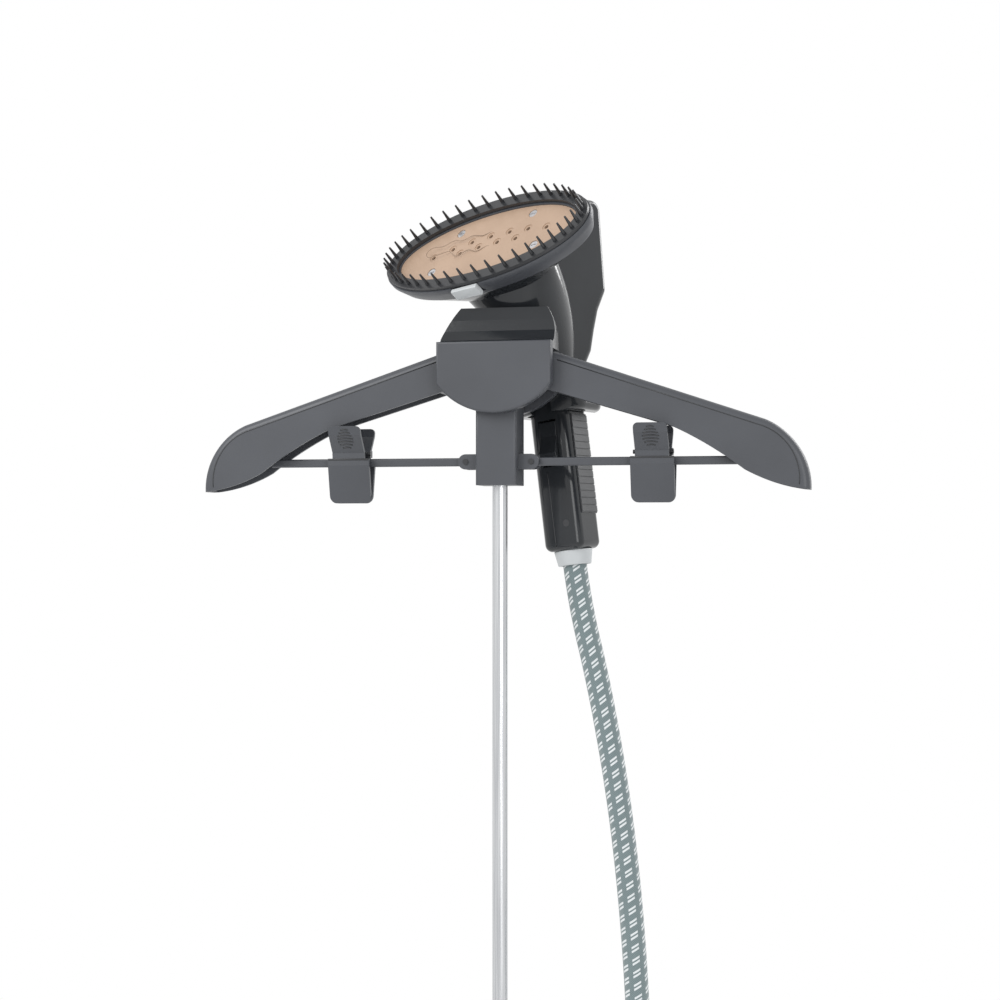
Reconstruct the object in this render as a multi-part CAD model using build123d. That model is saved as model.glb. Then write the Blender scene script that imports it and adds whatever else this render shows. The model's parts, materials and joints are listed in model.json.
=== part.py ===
"""Upright garment steamer: floor base, telescopic pole, folding hanger, steam head and hose.

Millimetres. +Z is up, -Y is the front, +X is the right-hand side seen from the front.
The origin is on the floor, under the middle of the object.
"""
import os
from math import cos, pi, radians, sin, tan

from build123d import *

# ---------------------------------------------------------------- driving dimensions
POLE_Y = 30.0            # the pole stands a little behind the middle of the base
ROD_Z = 1400.0           # height of the two trouser rods

# pole
UPPER_R = 5.5
LOWER_BORE_R = 5.58
LOWER_R = 8.0
UPPER_FOOT_Z = 500.0
LOWER_TOP_Z = 800.0
LOWER_FOOT_Z = 62.0

# hanger bracket, a front and a rear cheek with the arms swinging between them
CHEEK_HALF_W = 41.5
CHEEK_TOP_Z = ROD_Z + 85.0
CHEEK_SIDE_Z = ROD_Z + 55.0
CHEEK_FOOT_Z = ROD_Z + 34.0
CHEEK_IN = 15.5
CHEEK_OUT = 25.0
ARM_PIN_X = 26.0
ARM_PIN_Z = ROD_Z + 64.0
ARM_PIN_R = 3.0
ARM_HALF_Y = 13.0
ARM_WALL = 2.5
ARM_TIP_X = 221.0
ARM_TIP_Z = ROD_Z - 21.0

# rod carrier and rods
CARRIER_HALF_W = 14.75
CARRIER_FOOT_Z = ROD_Z - 17.0
ROD_PIN_X = 24.0
ROD_PIN_R = 2.0
ROD_END_X = 172.0
ROD_HALF_H = 3.0
ROD_HALF_Y = 2.0
CLIP_X = 111.0

# steam head, drawn in its own frame: x to its right, y backwards, z up along the handle
HEAD_FOOT = (45.6, POLE_Y + 46.0, 1336.0)
HEAD_YAW = -19.0
HEAD_ROLL = -7.5
HANDLE_HALF_W = 16.0
HANDLE_HALF_D = 18.0
SPINE_HALF_W = 14.0
SPINE_TURN = -15.0       # the back of the head is turned a little further round than the handle
TRIGGER_PIVOT = (-HANDLE_HALF_D + 7.0, 92.0)
PLATE_CENTRE = (-9.0, -60.0, 225.0)
PLATE_TILT = 35.0        # the plate looks up by this much from the handle's forward direction
PLATE_SPIN = -5.0        # turn of the oval about its own normal
PLATE_A, PLATE_B = 79.0, 29.5
BEZEL_A, BEZEL_B = 91.0, 41.0
BRISTLE_A, BRISTLE_B = 86.0, 36.0
BRISTLES = 44

# hose
HOSE_R = 8.75
HOSE_ROUTE = [
    (42.1, POLE_Y + 47.1, 1363.7),
    (50.4, POLE_Y + 44.5, 1298.0),
    (66.0, POLE_Y + 42.5, 1235.0),
    (81.0, POLE_Y + 41.5, 1150.0),
    (91.0, POLE_Y + 39.5, 1060.0),
    (97.0, POLE_Y + 37.0, 950.0),
    (99.5, POLE_Y + 34.0, 830.0),
    (99.0, POLE_Y + 30.5, 710.0),
    (96.0, POLE_Y + 27.0, 590.0),
    (92.0, POLE_Y + 23.5, 460.0),
    (89.0, POLE_Y + 21.0, 330.0),
    (88.0, POLE_Y + 20.0, 172.0),
]

# base
BASE_HALF = 140.0
BASE_CORNER_R = 88.0
BASE_FOOT_Z = 10.0
BASE_SEAM_Z = 70.0
DECK_Z = 125.0
BASE_WALL = 3.0
WHEEL_R = 30.0
WHEEL_X = 122.0
WHEEL_Y = 120.0
TANK_HALF_X = 92.0
TANK_HALF_Y = 46.0
TANK_Y = -72.0
TANK_TOP_Z = 330.0
PORT_X, PORT_Y = 88.0, POLE_Y + 20.0

HEAD = Pos(*HEAD_FOOT) * Rot(0, 0, HEAD_YAW) * Rot(0, HEAD_ROLL, 0)
PLATE_NORMAL = (0.0, -cos(radians(PLATE_TILT)), sin(radians(PLATE_TILT)))


# ---------------------------------------------------------------- helpers
def cylinder_z(x, y, z0, z1, r):
    return Pos(x, y, (z0 + z1) / 2) * Cylinder(r, z1 - z0)


def cylinder_y(x, z, y0, y1, r):
    return Pos(x, (y0 + y1) / 2, z) * Rot(90, 0, 0) * Cylinder(r, y1 - y0)


def cylinder_x(y, z, x0, x1, r):
    return Pos((x0 + x1) / 2, y, z) * Rot(0, 90, 0) * Cylinder(r, x1 - x0)


def block(x0, x1, y0, y1, z0, z1):
    return Pos((x0 + x1) / 2, (y0 + y1) / 2, (z0 + z1) / 2) * Box(x1 - x0, y1 - y0, z1 - z0)


def slab_xz(face_lines, y0, y1):
    """A closed outline drawn in X and Z, made solid between two Y values."""
    face = make_face(Plane.XZ * face_lines)
    return Pos(0, y0, 0) * extrude(face, y1 - y0, dir=(0, 1, 0))


def slab_yz(points, x0, x1):
    """A closed polygon drawn in Y and Z, made solid between two X values."""
    face = make_face(Plane.YZ * Polyline(*points, close=True))
    return Pos(x0, 0, 0) * extrude(face, x1 - x0, dir=(1, 0, 0))


def rounded_slab(half_x, half_y, corner_r, z0, z1, y=0.0):
    return Pos(0, y, z0) * extrude(RectangleRounded(2 * half_x, 2 * half_y, corner_r), z1 - z0)


def plate_plane(rise):
    """The plane of the steam plate, moved along its normal, in the head's frame."""
    centre = tuple(c + rise * n for c, n in zip(PLATE_CENTRE, PLATE_NORMAL))
    return Plane(origin=centre, x_dir=(1, 0, 0), z_dir=PLATE_NORMAL).rotated((0, 0, PLATE_SPIN))


def oval(a, b, low, high):
    return extrude(plate_plane(low) * Ellipse(a, b), high - low)


def left_of(solid):
    return mirror(solid, about=Plane.YZ)


# ---------------------------------------------------------------- base
def wheel_well(side, wall):
    """The corner of the tray that a wheel stands in, or that corner with its wall."""
    x_in = WHEEL_X - 12.5 - wall
    x0, x1 = sorted((side * x_in, side * 160))
    return block(x0, x1, WHEEL_Y - WHEEL_R - 3 - wall, 160, BASE_FOOT_Z - 1, 2 * WHEEL_R + 3 + wall)


def base_tray():
    outer = rounded_slab(BASE_HALF, BASE_HALF, BASE_CORNER_R, BASE_FOOT_Z, BASE_SEAM_Z)
    outer = fillet(outer.edges().group_by(Axis.Z)[0], 5)
    inner_half = BASE_HALF - BASE_WALL
    inner = rounded_slab(inner_half, inner_half, BASE_CORNER_R - BASE_WALL, BASE_FOOT_Z + BASE_WALL, BASE_SEAM_Z)
    for side in (-1, 1):
        outer -= wheel_well(side, 0)
        inner -= wheel_well(side, BASE_WALL)
    axle_bore = cylinder_x(WHEEL_Y, WHEEL_R, -BASE_HALF, BASE_HALF, 4.05)
    return outer - inner - axle_bore


def base_cover():
    outer = rounded_slab(BASE_HALF, BASE_HALF, BASE_CORNER_R, BASE_SEAM_Z, DECK_Z)
    outer = fillet(outer.edges().group_by(Axis.Z)[-1], 16)
    inner_half = BASE_HALF - BASE_WALL
    inner = rounded_slab(inner_half, inner_half, BASE_CORNER_R - BASE_WALL, BASE_SEAM_Z, DECK_Z - 9)
    inner = fillet(inner.edges().group_by(Axis.Z)[-1], 12)
    openings = cylinder_z(0, POLE_Y, BASE_SEAM_Z, DECK_Z + 1, 20)
    openings += cylinder_z(PORT_X, PORT_Y, BASE_SEAM_Z, DECK_Z + 1, 10)
    openings += cylinder_z(0, TANK_Y, BASE_SEAM_Z, DECK_Z + 1, 16)
    openings += cylinder_y(0, 92, -BASE_HALF - 1, -BASE_HALF + 5, 4.05)
    openings += cylinder_y(46, 92, -BASE_HALF - 1, -BASE_HALF + 5, 3.0)
    openings += cylinder_y(-70, 92, BASE_HALF - 5, BASE_HALF + 1, 8)
    recess = rounded_slab(TANK_HALF_X + 1, TANK_HALF_Y + 1, 24, DECK_Z - 6, DECK_Z + 1, TANK_Y)
    return outer - inner - openings - recess


def pole_socket():
    tower = cylinder_z(0, POLE_Y, 60, 190, 19.9)
    flange = Pos(0, POLE_Y, DECK_Z + 5) * Cone(30, 22, 10)
    bore = cylinder_z(0, POLE_Y, LOWER_FOOT_Z, 191, LOWER_R)
    body = tower + flange - bore
    return fillet(body.edges().group_by(Axis.Z)[-1], 2)


def wheel(sign):
    x0, x1 = WHEEL_X - 9, WHEEL_X + 9
    tyre = cylinder_x(WHEEL_Y, WHEEL_R, x0, x1, WHEEL_R)
    tyre = fillet(tyre.edges(), 3)
    tyre -= cylinder_x(WHEEL_Y, WHEEL_R, x1 - 3, x1, 20)
    tyre -= cylinder_x(WHEEL_Y, WHEEL_R, x0, x1, 4.08)
    return tyre if sign > 0 else left_of(tyre)


def wheel_axle():
    axle = cylinder_x(WHEEL_Y, WHEEL_R, -WHEEL_X - 8, WHEEL_X + 8, 4.0)
    caps = cylinder_x(WHEEL_Y, WHEEL_R, WHEEL_X + 6.3, WHEEL_X + 8.5, 9)
    collars = cylinder_x(WHEEL_Y, WHEEL_R, WHEEL_X - 12, WHEEL_X - 9.3, 8)
    return axle + caps + left_of(caps) + collars + left_of(collars)


def front_feet():
    pads = []
    for x in (-80, 80):
        pad = cylinder_z(x, -95, 0, BASE_FOOT_Z, 13)
        pads.append(fillet(pad.edges().group_by(Axis.Z)[0], 2))
    return Compound(children=pads)


def boiler():
    pot = cylinder_z(-5, TANK_Y, 18, 58, 44)
    pot = fillet(pot.edges(), 5)
    neck = cylinder_z(0, TANK_Y, 57, 84, 9)
    foot = cylinder_z(-5, TANK_Y, 13, 19, 20)
    outlet = cylinder_y(20, 46, TANK_Y + 35, TANK_Y + 50, 6)
    return pot + neck + foot + outlet


def heating_element():
    ring = Pos(-5, TANK_Y, 38) * Torus(50, 4)
    return ring - cylinder_z(-5, TANK_Y, 18, 58, 44) - cylinder_y(20, 46, TANK_Y, TANK_Y + 60, 6.3)


def steam_pipe():
    points = [(20, TANK_Y + 50, 46), (20, PORT_Y - 15, 46), (60, PORT_Y, 46), (PORT_X, PORT_Y, 62), (PORT_X, PORT_Y, 120)]
    path = FilletPolyline(*points, radius=12)
    section = Plane(origin=path @ 0, z_dir=path % 0) * Circle(4)
    return sweep(section, path=path)


def valve_seat():
    seat = cylinder_z(0, TANK_Y, 84, DECK_Z - 6.2, 15.8)
    return seat - cylinder_z(0, TANK_Y, 100, DECK_Z, 11)


def tank_shell():
    z0 = DECK_Z - 5.7
    outer = rounded_slab(TANK_HALF_X, TANK_HALF_Y, 23, z0, TANK_TOP_Z, TANK_Y)
    outer = fillet(outer.edges().group_by(Axis.Z)[-1], 10)
    inner = rounded_slab(TANK_HALF_X - 2.5, TANK_HALF_Y - 2.5, 20.5, z0 + 3, TANK_TOP_Z - 12, TANK_Y)
    neck_bore = cylinder_z(0, TANK_Y, z0 - 1, z0 + 4, 10)
    fill_bore = cylinder_z(48, TANK_Y, TANK_TOP_Z - 13, TANK_TOP_Z + 1, 17)
    return outer - inner - neck_bore - fill_bore


def tank_valve():
    z0 = DECK_Z - 5.7
    body = cylinder_z(0, TANK_Y, z0 - 12, z0 + 3, 9.9) + cylinder_z(0, TANK_Y, z0 + 3, z0 + 12, 14)
    return body


def tank_cap():
    cap = cylinder_z(48, TANK_Y, TANK_TOP_Z - 12, TANK_TOP_Z, 16.9)
    cap += cylinder_z(48, TANK_Y, TANK_TOP_Z, TANK_TOP_Z + 9, 21)
    return fillet(cap.edges().group_by(Axis.Z)[-1], 2.5)


def tank_handle():
    width, rise, bar = 88.0, 30.0, 12.0
    outline = [(-width / 2, 0), (-width / 2 + 8, rise), (width / 2 - 8, rise), (width / 2, 0)]
    path = FilletPolyline(*[(-32 + x, TANK_Y, TANK_TOP_Z + z) for x, z in outline], radius=9)
    section = Plane(origin=path @ 0, z_dir=path % 0) * RectangleRounded(8, bar, 3.5)
    return sweep(section, path=path) - block(-90, 90, -200, 0, TANK_TOP_Z - 10, TANK_TOP_Z)


def power_dial():
    y0 = -BASE_HALF - 0.3
    knob = cylinder_y(0, 92, y0 - 9.7, y0, 21)
    knob = fillet(knob.edges().group_by(Axis.Y)[0], 2)
    ridge = block(-2, 2, y0 - 9.7, y0 - 4, 92, 112)
    stem = cylinder_y(0, 92, y0, -BASE_HALF + 8, 4.0)
    return knob - ridge + stem


def pilot_lens():
    lens = cylinder_y(46, 92, -BASE_HALF - 1.5, -BASE_HALF + 5, 3.0)
    return fillet(lens.edges().group_by(Axis.Y)[0], 1)


def inlet_gland():
    gland = cylinder_y(-70, 92, BASE_HALF - 5, BASE_HALF, 8) + cylinder_y(-70, 92, BASE_HALF, BASE_HALF + 6, 11)
    return gland - cylinder_y(-70, 92, BASE_HALF - 3, BASE_HALF + 6.5, 4.2)


def hose_port():
    nut = extrude(Pos(PORT_X, PORT_Y, DECK_Z) * RegularPolygon(19, 8), 24)
    nut = fillet(nut.edges().group_by(Axis.Z)[-1], 2)
    spigot = cylinder_z(PORT_X, PORT_Y, 120, DECK_Z, 9.9)
    return nut + spigot - cylinder_z(PORT_X, PORT_Y, 119, 150, 4.3)


def hose_relief():
    z0, z1 = DECK_Z + 24, 206
    sleeve = Pos(PORT_X, PORT_Y, (z0 + z1) / 2) * Cone(15, 11.2, z1 - z0)
    bore = cylinder_z(PORT_X, PORT_Y, z0 + 12, z1 + 1, HOSE_R + 0.6)
    grooves = [Pos(PORT_X, PORT_Y, z0 + 14 + 7 * k) * Torus(14.6 - 0.45 * k, 1.0) for k in range(5)]
    body = sleeve - bore
    for groove in grooves:
        body -= groove
    return body - cylinder_z(PORT_X, PORT_Y, z0 - 1, z0 + 13, 4.3)


# ---------------------------------------------------------------- pole
def pole_lower():
    return cylinder_z(0, POLE_Y, LOWER_FOOT_Z, LOWER_TOP_Z, LOWER_R) - cylinder_z(
        0, POLE_Y, LOWER_FOOT_Z, LOWER_TOP_Z, LOWER_BORE_R
    )


def pole_upper():
    tube = cylinder_z(0, POLE_Y, UPPER_FOOT_Z, ROD_Z + 40, UPPER_R)
    return tube - cylinder_z(0, POLE_Y, UPPER_FOOT_Z, ROD_Z + 40, UPPER_R - 0.9)


LOCK_Z0, LOCK_Z1 = 776.0, 826.0
LOCK_PIN_Y, LOCK_PIN_Z = POLE_Y - 19.0, 816.0


def lock_body():
    barrel = cylinder_z(0, POLE_Y, LOCK_Z0, LOCK_Z1, 14)
    barrel = fillet(barrel.edges(), 2)
    ears = block(-9, 9, LOCK_PIN_Y - 4, POLE_Y - 10, LOCK_PIN_Z - 5, LOCK_PIN_Z + 5)
    ears = fillet(ears.edges().filter_by(Axis.X).group_by(Axis.Y)[0], 3.5)
    slot = block(-5.3, 5.3, LOCK_PIN_Y - 6, POLE_Y - 13.2, LOCK_Z0 - 1, LOCK_Z1 + 1)
    body = barrel + ears - slot
    body -= cylinder_z(0, POLE_Y, LOCK_Z0 - 1, LOWER_TOP_Z, LOWER_R)
    body -= cylinder_z(0, POLE_Y, LOWER_TOP_Z, LOCK_Z1 + 1, UPPER_R + 0.08)
    return body - cylinder_x(LOCK_PIN_Y, LOCK_PIN_Z, -10, 10, 1.6)


def lock_lever():
    eye = cylinder_x(LOCK_PIN_Y, LOCK_PIN_Z, -5, 5, 4.4)
    blade = block(-5, 5, LOCK_PIN_Y - 4.4, LOCK_PIN_Y - 0.4, LOCK_Z0 - 6, LOCK_PIN_Z)
    thumb = block(-8, 8, LOCK_PIN_Y - 5.4, LOCK_PIN_Y - 1.0, LOCK_Z0 - 14, LOCK_Z0 - 4)
    lever = eye + blade + fillet(thumb.edges().filter_by(Axis.Y), 3)
    return lever - cylinder_x(LOCK_PIN_Y, LOCK_PIN_Z, -6, 6, 1.68)


def lock_pin():
    return cylinder_x(LOCK_PIN_Y, LOCK_PIN_Z, -9.4, 9.4, 1.6)


# ---------------------------------------------------------------- hanger
def cheek_outline(top_z):
    w = CHEEK_HALF_W
    lines = Line((-w, CHEEK_SIDE_Z), (-w, top_z)) + Line((-w, top_z), (w, top_z)) + Line((w, top_z), (w, CHEEK_SIDE_Z))
    return lines + ThreePointArc((w, CHEEK_SIDE_Z), (0, CHEEK_FOOT_Z), (-w, CHEEK_SIDE_Z))


def bracket_front():
    cheek = slab_xz(cheek_outline(CHEEK_TOP_Z), POLE_Y - CHEEK_OUT, POLE_Y - CHEEK_IN)
    cheek = fillet(cheek.edges().group_by(Axis.Y)[0], 1.6)
    for x in (-ARM_PIN_X, ARM_PIN_X):
        cheek -= cylinder_y(x, ARM_PIN_Z, POLE_Y - CHEEK_OUT + 3, POLE_Y - CHEEK_IN + 1, ARM_PIN_R)
    return cheek


def bracket_rear():
    cheek = slab_xz(cheek_outline(CHEEK_TOP_Z - 8), POLE_Y + CHEEK_IN, POLE_Y + CHEEK_OUT)
    for x in (-ARM_PIN_X, ARM_PIN_X):
        cheek -= cylinder_y(x, ARM_PIN_Z, POLE_Y + CHEEK_IN - 1, POLE_Y + CHEEK_OUT - 3, ARM_PIN_R)
    return cheek


def rest_tray():
    """Glossy scoop on top of the bracket, rising from the front cheek towards the head."""
    z, half_w = CHEEK_TOP_Z, CHEEK_HALF_W
    front = [(-CHEEK_IN, z - 5), (-CHEEK_IN, z), (-11, z + 2), (-7, z + 9), (-4.5, z + 17), (-3.5, z + 26)]
    rear = [(0, z + 26), (5.5, z + 10), (8, z - 5)]
    scoop = slab_yz([(POLE_Y + y, zz) for y, zz in front + rear], -half_w, half_w)
    left = ThreePointArc((-half_w, z + 3), (-35.5, z + 16), (-26, z + 28))
    right = ThreePointArc((34, z + 28), (40, z + 16), (half_w, z + 3))
    outline = Line((-half_w, z - 5), (-half_w, z + 3)) + left + Line((-26, z + 28), (34, z + 28)) + right
    outline += Line((half_w, z + 3), (half_w, z - 5)) + Line((half_w, z - 5), (-half_w, z - 5))
    return scoop & slab_xz(outline, POLE_Y - CHEEK_IN - 1, POLE_Y + 9)


def arm_pins():
    y0, y1 = POLE_Y - CHEEK_OUT + 3, POLE_Y + CHEEK_OUT - 3
    return Compound(children=[cylinder_y(x, ARM_PIN_Z, y0, y1, ARM_PIN_R) for x in (-ARM_PIN_X, ARM_PIN_X)])


def rod_carrier():
    y0, y1 = POLE_Y - CHEEK_IN, POLE_Y + CHEEK_IN
    block_low = block(-CARRIER_HALF_W, CARRIER_HALF_W, y0, y1, CARRIER_FOOT_Z, ROD_Z + 43)
    block_low = fillet(block_low.edges().filter_by(Axis.Z), 2)
    stem = block(-9, 9, y0, y1, ROD_Z + 43, CHEEK_TOP_Z - 5)
    body = block_low + stem
    for side in (-1, 1):
        for ya, yb in ((-6.5, -2.6), (2.6, 6.5)):
            x = side * ROD_PIN_X
            ear = cylinder_y(x, ROD_Z, POLE_Y + ya, POLE_Y + yb, 5.5)
            web = block(min(x, side * 14), max(x, side * 14), POLE_Y + ya, POLE_Y + yb, ROD_Z - 5.5, ROD_Z + 5.5)
            body += ear + web
        body -= cylinder_y(side * ROD_PIN_X, ROD_Z, POLE_Y - 7, POLE_Y + 7, ROD_PIN_R)
    return body - cylinder_z(0, POLE_Y, CARRIER_FOOT_Z - 1, ROD_Z + 40, UPPER_R)


def rod_pins():
    y0, y1 = POLE_Y - 7.5, POLE_Y + 7.5
    return Compound(children=[cylinder_y(x, ROD_Z, y0, y1, ROD_PIN_R) for x in (-ROD_PIN_X, ROD_PIN_X)])


def arm_outline(inset):
    """The arm from the side: a straight beam that deepens into a rounded shoulder and a pointed tip."""
    root_x = ARM_PIN_X - 2
    top_slope = tan(radians(18.6))
    shoulder_x = 190.0 - inset
    root_top = (root_x, ARM_PIN_Z + 20.0 - inset)
    shoulder = (shoulder_x, root_top[1] - (shoulder_x - root_x) * top_slope)
    tip = (ARM_TIP_X - inset, ARM_TIP_Z)
    belly = (176.0, ROD_Z - 7.0)
    waist = (124.0, ROD_Z + 24.5)
    root_low = (root_x, ARM_PIN_Z - 9.0)
    lines = Line(root_low, root_top) + Line(root_top, shoulder)
    lines += ThreePointArc(shoulder, (213.5 - inset, ROD_Z + 8.0), tip)
    lines += ThreePointArc(tip, (200.0 - inset / 2, ROD_Z - 17.0), belly)
    lines += ThreePointArc(belly, (152.0, ROD_Z + 9.5), waist)
    return lines + Line(waist, root_low)


def arm_right():
    y0, y1 = POLE_Y - ARM_HALF_Y, POLE_Y + ARM_HALF_Y
    shell = slab_xz(arm_outline(0.0), y0, y1)
    def on_top(edge):
        centre = edge.center()
        middle_z = ARM_PIN_Z + 4.5 - 0.345 * (centre.X - ARM_PIN_X)
        on_face = abs(abs(centre.Y - POLE_Y) - ARM_HALF_Y) < 0.1
        return on_face and edge.length > 30 and centre.Z > middle_z

    upper = shell.edges().filter_by(on_top)
    shell = fillet(upper, 5.0)
    cavity = slab_xz(arm_outline(ARM_WALL), y0 + ARM_WALL, y1 - ARM_WALL)
    drop = Pos(0, 0, -12) * cavity
    root_block = block(0, ARM_PIN_X + 16, y0 - 1, y1 + 1, ARM_PIN_Z - 30, ARM_PIN_Z + 40)
    shell -= (cavity + drop) - root_block
    eye = cylinder_y(ARM_PIN_X, ARM_PIN_Z, y0, y1, 12)
    trim = block(0, ARM_PIN_X, y0 - 1, y1 + 1, ARM_PIN_Z - 30, ARM_PIN_Z + 40) - eye
    shell -= block(0, CHEEK_HALF_W + 0.6, y0 - 1, y1 + 1, CHEEK_TOP_Z - 7, CHEEK_TOP_Z + 20)
    shell = shell - trim + (eye - block(ARM_PIN_X, 60, y0, y1, ARM_PIN_Z - 30, ARM_PIN_Z + 30))
    return shell - cylinder_y(ARM_PIN_X, ARM_PIN_Z, y0 - 1, y1 + 1, ARM_PIN_R + 0.08)


def rod_right():
    bar = block(ROD_PIN_X, ROD_END_X, POLE_Y - ROD_HALF_Y, POLE_Y + ROD_HALF_Y, ROD_Z - ROD_HALF_H, ROD_Z + ROD_HALF_H)
    bar = fillet(bar.edges().filter_by(Axis.X), 1.2)
    eye = cylinder_y(ROD_PIN_X, ROD_Z, POLE_Y - ROD_HALF_Y, POLE_Y + ROD_HALF_Y, 5)
    return bar + eye - cylinder_y(ROD_PIN_X, ROD_Z, POLE_Y - 3, POLE_Y + 3, ROD_PIN_R + 0.08)


# ---------------------------------------------------------------- trouser clips
CLIP_PIVOT_DZ = 6.5
CLIP_GAP = 6.5           # distance from the rod's middle plane to each jaw's inner face at the pivot


def jaw_profile():
    """Side view of the front jaw: (distance in front of the rod's middle plane, height over the rod)."""
    inner = [(19.0, 26.0), (16.5, 20.0), (CLIP_GAP, 8.0), (CLIP_GAP, 0.0), (0.4, -27.5)]
    outer = [(2.8, -29.5), (CLIP_GAP + 2.6, -2.0), (CLIP_GAP + 2.6, 7.0), (19.0, 19.5), (21.4, 26.0)]
    return inner + outer


def clip_jaw(side):
    """side is -1 for the front jaw and +1 for the rear one."""
    points = [(POLE_Y + side * y, ROD_Z + z) for y, z in jaw_profile()]
    wide = slab_yz(points, CLIP_X - 15.5, CLIP_X + 15.5)
    low_corners = wide.edges().filter_by(lambda e: e.center().Z < ROD_Z - 27 and abs(e.center().X - CLIP_X) > 15)
    wide = fillet(low_corners, 5)
    for edge_side in (-1, 1):
        x0 = CLIP_X + edge_side * 12
        x1 = CLIP_X + edge_side * 20
        narrow_cut = block(min(x0, x1), max(x0, x1), POLE_Y - 30, POLE_Y + 30, ROD_Z + 3, ROD_Z + 40)
        wide -= narrow_cut
    top_corners = wide.edges().filter_by(lambda e: e.center().Z > ROD_Z + 25.9 and abs(e.center().X - CLIP_X) > 11)
    wide = fillet(top_corners, 3.5)
    lug_y0, lug_y1 = sorted((POLE_Y + side * 1.2, POLE_Y + side * (CLIP_GAP + 1)))
    lug_x = 6.0 if side < 0 else 10.0
    for edge_side in (-1, 1):
        x0, x1 = sorted((CLIP_X + edge_side * lug_x, CLIP_X + edge_side * (lug_x + 3.5)))
        wide += block(x0, x1, lug_y0, lug_y1, ROD_Z + 4, ROD_Z + 9)
    return wide - cylinder_x(POLE_Y, ROD_Z + CLIP_PIVOT_DZ, CLIP_X - 20, CLIP_X + 20, 1.6)


def clip_pin():
    return cylinder_x(POLE_Y, ROD_Z + CLIP_PIVOT_DZ, CLIP_X - 14.5, CLIP_X + 14.5, 1.5)


def clip_spring():
    """Torsion spring on the clip's pin, as five close turns."""
    turns = [Pos(CLIP_X - 4 + 2 * k, POLE_Y, ROD_Z + CLIP_PIVOT_DZ) * Rot(0, 90, 0) * Torus(2.6, 0.55) for k in range(5)]
    return Compound(children=turns)


# ---------------------------------------------------------------- steam head
def handle_grip():
    top_z = 140.0
    grip = block(-HANDLE_HALF_W, HANDLE_HALF_W, -HANDLE_HALF_D, HANDLE_HALF_D, 0, top_z)
    grip = fillet(grip.edges().filter_by(Axis.Z), 7.5)
    return fillet(grip.edges().group_by(Axis.Z)[0], 5.5)


def head_spine():
    """The back of the head: it swings backwards above the handle and ends in a blunt top."""
    front = [(-14, 118), (-10, 152), (6, 200), (-24, 250), (-16, 268)]
    back = [(62, 268), (57, 196), (46, 180), (39, 164), (33, 148), (22, 133), (15, 118)]
    spine = slab_yz(front + back, -SPINE_HALF_W, SPINE_HALF_W)
    spine = fillet(spine.edges().filter_by(Axis.X).sort_by(Axis.Z)[2:], 9)
    rims = spine.edges().filter_by(lambda e: abs(abs(e.center().X) - SPINE_HALF_W) < 0.01)
    return Rot(0, 0, SPINE_TURN) * fillet(rims, 6)


def head_casing():
    body = handle_grip() + head_spine()
    body -= cylinder_z(0, 0, -1, 36, HOSE_R + 0.6)
    body -= cylinder_z(0, 0, 35, 112, 6)
    trigger_z = TRIGGER_PIVOT[1]
    return body - block(-7.4, 7.4, -HANDLE_HALF_D - 2, -4.5, trigger_z - 30, trigger_z + 4.5)


def head_dish():
    """Shallow bowl behind the plate, closing from the bezel down to the neck."""
    return loft([plate_plane(-30) * Ellipse(44, 27), plate_plane(-12) * Ellipse(BEZEL_A - 5, BEZEL_B - 4)])


def head_neck():
    low = Plane(origin=(0, -1, 134), x_dir=(1, 0, 0), z_dir=(0, 0, 1)) * Ellipse(16, 18)
    middle = Plane(origin=(-3, -16, 178), x_dir=(1, 0, 0), z_dir=(0, -0.5, 0.866)) * Ellipse(29, 33)
    high = plate_plane(-22) * Ellipse(42, 30)
    return loft([low, middle, high])


def head_hood():
    hood = head_dish() + head_neck() - head_casing() - oval(BEZEL_A, BEZEL_B, -12, 10)
    cheek_seat = block(-43, 43, POLE_Y + CHEEK_IN - 1, POLE_Y + CHEEK_OUT + 1, ROD_Z, CHEEK_TOP_Z - 7)
    return HEAD * hood.solids().sort_by(SortBy.VOLUME)[-1] - cheek_seat


LATCH_X = -6.0


def head_bezel():
    dish = loft([plate_plane(-12) * Ellipse(BEZEL_A - 5, BEZEL_B - 4), plate_plane(-2) * Ellipse(BEZEL_A, BEZEL_B)])
    rim = oval(BEZEL_A, BEZEL_B, -2, 1.5)
    well = oval(PLATE_A + 0.2, PLATE_B + 0.2, -4, 3)
    latch_notch = extrude(plate_plane(-9) * Pos(LATCH_X, -BEZEL_B) * Rectangle(24, 9), 11)
    return dish + rim - well - latch_notch


def plate_holes():
    """Steam holes in two staggered, arched rows, as (x, y) on the plate."""
    top_row = [(2 + 17 * k, 7 - 0.7 * k**2) for k in range(-3, 4)]
    low_row = [(1.5 + 16.7 * k, -0.8 - 0.67 * k**2) for k in (-1.5, -0.5, 0.5, 1.5)]
    return top_row + low_row


SCREW_SPOTS = [(-29, 19), (36, 19), (-46, -14.5), (46, -14.5)]


def steam_plate():
    body = oval(PLATE_A, PLATE_B, -4, 0.5)
    for x, y in plate_holes():
        body -= extrude(plate_plane(-5) * Pos(x, y) * Circle(1.7), 6)
        body -= extrude(plate_plane(0) * Pos(x, y) * Circle(3.4), 1)
    for x, y in SCREW_SPOTS:
        body -= extrude(plate_plane(-1.5) * Pos(x, y) * Circle(3.6), 3)
    return body


def plate_screws():
    screws = []
    for x, y in SCREW_SPOTS:
        head = extrude(plate_plane(-1.5) * Pos(x, y) * Circle(3.3), 1.6)
        slot = extrude(plate_plane(-0.5) * Pos(x, y) * Rectangle(5, 0.9), 1)
        screws.append(head - slot)
    return Compound(children=screws)


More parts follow.
